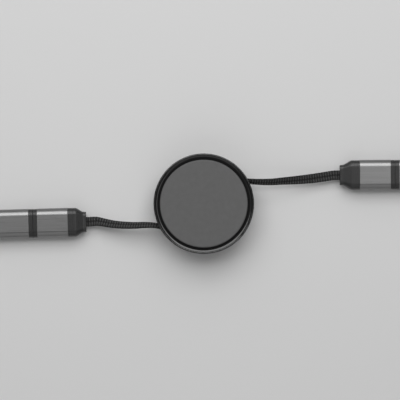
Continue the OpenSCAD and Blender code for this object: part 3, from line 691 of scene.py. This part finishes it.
def make_collar(name, node, x, out, width, hole, place):
    """Half of the collar; out is 1 on the plug's side and -1 on the adapter's."""
    body, spigot = body_size(width), spigot_size(width)
    face = (COLLAR_LENGTH - SEAM) / 2
    rings = [inset(-SPIGOT, spigot, 0.15), section(0.2 - SPIGOT, *spigot), section(0, *spigot)]
    rings += eased_end(0, body, EDGES["collar"], 1)
    for x_groove in COLLAR_GROOVES:
        rings += grooved(x_groove, body, GROOVE_WIDTH, COLLAR_GROOVE_DEPTH)
    rings += eased_end(face, body, EDGES["seam"], -1)
    rings += [section(face, *hole), section(-SPIGOT, *hole)]
    rings = [[(x + out * p[0], p[1], p[2]) for p in ring] for ring in rings]
    collar = loft(name, rings, True, place)
    round_off(collar)
    dress(collar, "plug_plastic")
    stand_for(collar, node)


def make_plug(side):
    plug = PLUGS[side]
    turned = Matrix.Rotation(math.radians(plug["turn"]), 4, "Z")
    place = Matrix.Translation(Vector(plug["at"]) * MM) @ turned
    width, cap = plug["width"], plug["cap"]
    sleeve_end = cap + plug["sleeve"]
    adapter = sleeve_end + COLLAR_LENGTH
    nose = adapter + ADAPTER_LENGTH
    make_cap(side, place)
    make_sleeve(side + "_satin_sleeve", side + "_sleeve", cap, sleeve_end, width, place)
    make_sleeve(side + "_adapter_satin_sleeve", side + "_adapter_sleeve", adapter, nose, width, place)
    oval_hole, socket_hole = (
        (w + SHELL_ROOM, h + SHELL_ROOM, h / 2 + 0.04)
        for w, h in ((OVAL_WIDTH, OVAL_HEIGHT), (SOCKET_WIDTH, SOCKET_HEIGHT))
    )
    make_collar(side + "_grooved_collar", side + "_collar", sleeve_end, 1, width, oval_hole, place)
    make_collar(side + "_adapter_grooved_collar", side + "_adapter_collar", adapter, -1, width,
                socket_hole, place)
    refined(side + "_adapter_nose", EDGES["nose"])
    refined(side + "_oval_shell", EDGES["oval"])
    refined(side + "_socket_shell", EDGES["socket"])
    for node in ("oval_insulator", "socket_tongue", "cable_tail", "cable_clamp", "plug_board",
                 "adapter_board"):
        refined(side + "_" + node)


def make_plug_ends():
    """The flat plug on the left adapter and the small one on the right adapter."""
    ends = ("flat_plug", "small_plug")
    for end in ends:
        refined(end + "_shell", EDGES["plug"])
    for end in ends:
        refined(end + "_insulator")
        refined(end + "_contacts")


# ---- Cable -------------------------------------------------------------------------------


def smooth_point(points, s):
    """Point at a share s of a smooth curve through the points, each a tuple of numbers."""
    last = len(points) - 1
    k = min(int(s * last), last - 1)
    t = s * last - k
    a, b, c, d = (points[min(max(k + i, 0), last)] for i in (-1, 0, 1, 2))
    return tuple(
        0.5 * (2 * q + (r - p) * t + (2 * p - 5 * q + 4 * r - u) * t * t
               + (3 * q - p - 3 * r + u) * t ** 3)
        for p, q, r, u in zip(a, b, c, d)
    )


def even_route(route, step):
    """Points about a step apart along the smooth curve through a route, and its length."""
    fine_steps = 2000
    fine = [smooth_point(route, i / fine_steps) for i in range(fine_steps + 1)]
    lengths = [0.0]
    for p, q in zip(fine, fine[1:]):
        lengths.append(lengths[-1] + math.dist(p[:3], q[:3]))
    count = round(lengths[-1] / step)
    made, k = [], 0
    for i in range(count + 1):
        goal = lengths[-1] * i / count
        while k < len(lengths) - 2 and lengths[k + 1] < goal:
            k += 1
        share = (goal - lengths[k]) / (lengths[k + 1] - lengths[k])
        made.append(tuple(a + (b - a) * share for a, b in zip(fine[k], fine[k + 1])))
    return made, lengths[-1]


def section_axes(points):
    """The cable's width and thickness directions at each point of its route."""
    axes = []
    last = len(points) - 1
    for k, point in enumerate(points):
        along = Vector(points[min(k + 1, last)][:3]) - Vector(points[max(k - 1, 0)][:3])
        along.normalize()
        side = Vector((0, 0, 1)).cross(along).normalized()
        up = along.cross(side)
        turn = math.radians(point[3])
        axes.append((side * math.cos(turn) + up * math.sin(turn),
                     up * math.cos(turn) - side * math.sin(turn)))
    return axes


class Tree:
    """A Geometry Nodes tree with named inputs and short ways to add its nodes."""

    def __init__(self, name, inputs):
        self.group = bpy.data.node_groups.new(name, "GeometryNodeTree")
        face = self.group.interface
        face.new_socket("Geometry", in_out="INPUT", socket_type="NodeSocketGeometry")
        face.new_socket("Geometry", in_out="OUTPUT", socket_type="NodeSocketGeometry")
        for label, kind in inputs.items():
            face.new_socket(label, in_out="INPUT", socket_type="NodeSocket" + kind)
        self.given = self.group.nodes.new("NodeGroupInput").outputs
        self.result = self.group.nodes.new("NodeGroupOutput").inputs["Geometry"]

    def node(self, kind, settings=None, **sockets):
        node = self.group.nodes.new(kind)
        for key, value in (settings or {}).items():
            setattr(node, key, value)
        for key, value in sockets.items():
            self.feed(node.inputs[key.replace("_", " ")], value)
        return node

    def feed(self, socket, value):
        if isinstance(value, bpy.types.NodeSocket):
            self.group.links.new(value, socket)
        else:
            socket.default_value = value

    def maths(self, operation, *values):
        node = self.node("ShaderNodeMath", {"operation": operation})
        for socket, value in zip(node.inputs, values):
            self.feed(socket, value)
        return node.outputs[0]

    def scaled(self, name, factor):
        """A stored direction times a factor."""
        stored = self.node("GeometryNodeInputNamedAttribute", {"data_type": "FLOAT_VECTOR"}, Name=name)
        node = self.node("ShaderNodeVectorMath", {"operation": "SCALE"}, Scale=factor)
        self.feed(node.inputs[0], stored.outputs["Attribute"])
        return node.outputs[0]

    def apply(self, piece, values):
        """Runs the tree on a piece and returns the plain mesh that it makes."""
        modifier = piece.modifiers.new(self.group.name, "NODES")
        modifier.node_group = self.group
        for item in self.group.interface.items_tree:
            if item.in_out == "INPUT" and item.name in values:
                modifier[item.identifier] = values[item.name]
        graph = bpy.context.evaluated_depsgraph_get()
        mesh = bpy.data.meshes.new_from_object(piece.evaluated_get(graph), depsgraph=graph)
        piece.modifiers.remove(modifier)
        return mesh


def braid_tree():
    """Yarns wound both ways round a flat two-lobed cable, each passing over and under."""
    tree = Tree("braided_cover", {
        "Carriers": "Int", "Yarns each": "Int", "Lay length": "Float", "Width": "Float",
        "Thickness": "Float", "Groove": "Float", "Yarn radius": "Float", "Wave": "Float",
        "Material": "Material",
    })
    m, given = tree.maths, tree.given
    one_way = m("MULTIPLY", given["Carriers"], given["Yarns each"])
    line = tree.node("GeometryNodeMeshToCurve", Mesh=given["Geometry"])
    copies = tree.node("GeometryNodeDuplicateElements", {"domain": "SPLINE"},
                       Geometry=line.outputs["Curve"], Amount=m("MULTIPLY", one_way, 2.0))
    index = tree.node("GeometryNodeCurveOfPoint").outputs["Curve Index"]
    along = tree.node("GeometryNodeSplineParameter").outputs["Length"]
    back = m("GREATER_THAN", index, m("SUBTRACT", one_way, 0.5))
    hand = m("SUBTRACT", 1.0, m("MULTIPLY", back, 2.0))
    place = m("MODULO", index, one_way)
    carrier = m("FLOOR", m("DIVIDE", m("ADD", place, 0.01), given["Yarns each"]))
    yarn = m("SUBTRACT", place, m("MULTIPLY", carrier, given["Yarns each"]))
    beside = m("SUBTRACT", yarn, m("DIVIDE", m("SUBTRACT", given["Yarns each"], 1.0), 2.0))
    laid = m("DIVIDE", along, given["Lay length"])
    spread = m("DIVIDE", m("MULTIPLY", beside, YARN_SPREAD), given["Carriers"])
    turns = m("ADD", m("ADD", m("DIVIDE", carrier, given["Carriers"]), spread),
              m("MULTIPLY", laid, hand))
    crossed = m("ADD", m("MULTIPLY", laid, given["Carriers"]), m("MULTIPLY", carrier, hand))
    crossings = m("MULTIPLY", crossed, math.tau)
    over = m("MULTIPLY", m("COSINE", crossings), hand)
    wave = m("MULTIPLY", over, given["Wave"])

    # A yarn runs evenly over the upper face from edge to edge, then back below
    part_turn = m("FRACT", turns)
    even = m("SUBTRACT", 1.0, m("MULTIPLY", m("ABSOLUTE", m("SUBTRACT", part_turn, 0.5)), 4.0))
    eased = m("SINE", m("MULTIPLY", even, math.pi / 2))
    sway = m("ADD", m("MULTIPLY", even, 0.5), m("MULTIPLY", eased, 0.5))
    swayed = m("ABSOLUTE", sway)
    face = m("SUBTRACT", 1.0, m("MULTIPLY", m("GREATER_THAN", part_turn, 0.5), 2.0))
    arch = m("MULTIPLY", m("SQRT", m("SUBTRACT", 1.0, m("POWER", swayed, EDGE_POWER))), face)
    across = m("MULTIPLY", sway, m("ADD", m("MULTIPLY", given["Width"], 0.5), wave))
    lobe = m("DIVIDE", across, m("MULTIPLY", given["Width"], GROOVE_SHARE))
    hollow = m("EXPONENT", m("MULTIPLY", m("MULTIPLY", lobe, lobe), -1.0))
    raised = m("MULTIPLY", arch, m("ADD", m("MULTIPLY", given["Thickness"], 0.5), wave))
    height = m("MULTIPLY", raised, m("SUBTRACT", 1.0, m("MULTIPLY", hollow, given["Groove"])))
    offset = tree.node("ShaderNodeVectorMath", {"operation": "ADD"})
    tree.feed(offset.inputs[0], tree.scaled("wide", across))
    tree.feed(offset.inputs[1], tree.scaled("thick", height))

    # Painted light: raised yarns are lighter, those laid the other way most of all, as painted
    # highlights;
    # yarns in the groove and at the edges are darker, as painted shade; a random share is the yarns'
    # own tone
    chance = tree.node("ShaderNodeTexWhiteNoise", {"noise_dimensions": "1D"}, W=index)
    first_hand, more_back = RISE_PAINTED_LIGHT
    by_hand = m("ADD", first_hand, m("MULTIPLY", back, more_back))
    painted_light = m("MULTIPLY", m("ADD", over, 1.0), by_hand)
    at_edge = m("POWER", swayed, 3.0)
    # Painted shade in the groove between the lobes and at the edges
    for darker, share in ((hollow, GROOVE_PAINTED_SHADE), (at_edge, EDGE_PAINTED_SHADE)):
        painted_light = m("MULTIPLY", painted_light, m("SUBTRACT", 1.0, m("MULTIPLY", darker, share)))
    by_chance = m("ADD", m("MULTIPLY", chance.outputs["Value"], CHANCE_SHADE), 1 - CHANCE_SHADE)
    painted_light_and_tone = m("MULTIPLY", painted_light, by_chance)
    # Stores the painted light and shade, with the random tone, on each yarn's points
    painted_light_stored = tree.node("GeometryNodeStoreNamedAttribute", {"data_type": "FLOAT", "domain": "POINT"},
                       Geometry=copies.outputs["Geometry"], Name="painted_light_and_tone", Value=painted_light_and_tone)
    moved = tree.node("GeometryNodeSetPosition", Geometry=painted_light_stored.outputs[0], Offset=offset.outputs[0])
    ring = tree.node("GeometryNodeCurvePrimitiveCircle", Resolution=YARN_SIDES,
                     Radius=given["Yarn radius"])
    tubes = tree.node("GeometryNodeCurveToMesh", Curve=moved.outputs[0],
                      Profile_Curve=ring.outputs["Curve"], Fill_Caps=True)
    real = tree.node("GeometryNodeRealizeInstances", Geometry=tubes.outputs[0])
    smooth = tree.node("GeometryNodeSetShadeSmooth", Geometry=real.outputs[0])
    coloured = tree.node("GeometryNodeSetMaterial", Geometry=smooth.outputs[0],
                         Material=given["Material"])
    tree.group.links.new(coloured.outputs[0], tree.result)
    return tree


def route_line(points, axes):
    """The centre line as joined edges, with the cable's directions stored on its points."""
    mesh = bpy.data.meshes.new("route")
    mesh.from_pydata([Vector(p[:3]) * MM for p in points],
                     [(i, i + 1) for i in range(len(points) - 1)], [])
    for name, pick in (("wide", 0), ("thick", 1)):
        attribute = mesh.attributes.new(name, "FLOAT_VECTOR", "POINT")
        attribute.data.foreach_set("vector", [c for pair in axes for c in pair[pick]])
    return link("route", mesh)


def core_rings(points, axes):
    """The dark core that shows between the yarns, a flat two-lobed tube."""
    rings = []
    for point, (wide, thick) in list(zip(points, axes))[::2]:
        ring = []
        for i in range(CORE_POINTS):
            share = (i + 0.5) / CORE_POINTS
            sway = math.cos(math.tau * share)
            arch = math.copysign(math.sqrt(1 - abs(sway) ** EDGE_POWER), 0.5 - share)
            u = sway * (CABLE_WIDTH / 2 - CORE_INSET[0])
            v = arch * (CABLE_THICKNESS / 2 - CORE_INSET[1])
            v *= 1 - LOBE_GROOVE * math.exp(-((u / (CABLE_WIDTH * GROOVE_SHARE)) ** 2))
            ring.append(Vector(point[:3]) + wide * u + thick * v)
        rings.append(ring)
    return rings


def join(name, parts):
    """One object from several, which are used up."""
    with bpy.context.temp_override(active_object=parts[0], object=parts[0], selected_objects=parts,
                                   selected_editable_objects=parts):
        bpy.ops.object.join()
    parts[0].name = parts[0].data.name = name
    return parts[0]


def make_cable(side, tree):
    points, length = even_route(ROUTES[side], LAY_LENGTH / CARRIERS / RINGS_PER_CROSSING)
    axes = section_axes(points)
    line = route_line(points, axes)
    mesh = tree.apply(line, {
        "Carriers": CARRIERS, "Yarns each": YARNS_EACH, "Lay length": LAY_LENGTH * MM,
        "Width": (CABLE_WIDTH - 2 * (YARN_RADIUS + YARN_WAVE)) * MM,
        "Thickness": (CABLE_THICKNESS - 2 * (YARN_RADIUS + YARN_WAVE)) * MM,
        "Groove": LOBE_GROOVE, "Yarn radius": YARN_RADIUS * MM, "Wave": YARN_WAVE * MM,
        "Material": finishes["braid"].material,
    })
    bpy.data.objects.remove(line)
    core = loft(side + "_core", core_rings(points, axes))
    round_off(core, 60)
    dress(core, "cable_jacket")
    cable = join(side + "_flat_cable", [link(side + "_braid", mesh), core])
    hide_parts(side + "_cable")
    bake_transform(cable)
    return cable


# ---- Floor -------------------------------------------------------------------------------


def make_floor():
    mesh = bpy.data.meshes.new("floor")
    half = 3.0
    mesh.from_pydata([(-half, -half, 0), (half, -half, 0), (half, half, 0), (-half, half, 0)], [],
                     [(0, 1, 2, 3)])
    floor = link("floor", mesh)
    paint = Finish("pale_floor", grey(211), 0.8, Specular_IOR_Level=0.1)
    mesh.materials.append(paint.material)


# ---- The scene ---------------------------------------------------------------------------

make_camera()
make_world(AMBIENT)
for name, values in SOFTBOXES.items():
    softbox(name, *values)
bpy.context.scene.view_settings.view_transform = "Standard"

finishes = make_finishes()
for name, node in frame["nodes"].items():
    dress(node, slot_of[name])

make_floor()
make_housing()
make_winding()
for side in PLUGS:
    make_plug(side)
make_plug_ends()
braid = braid_tree()
for side in PLUGS:
    make_cable(side, braid)
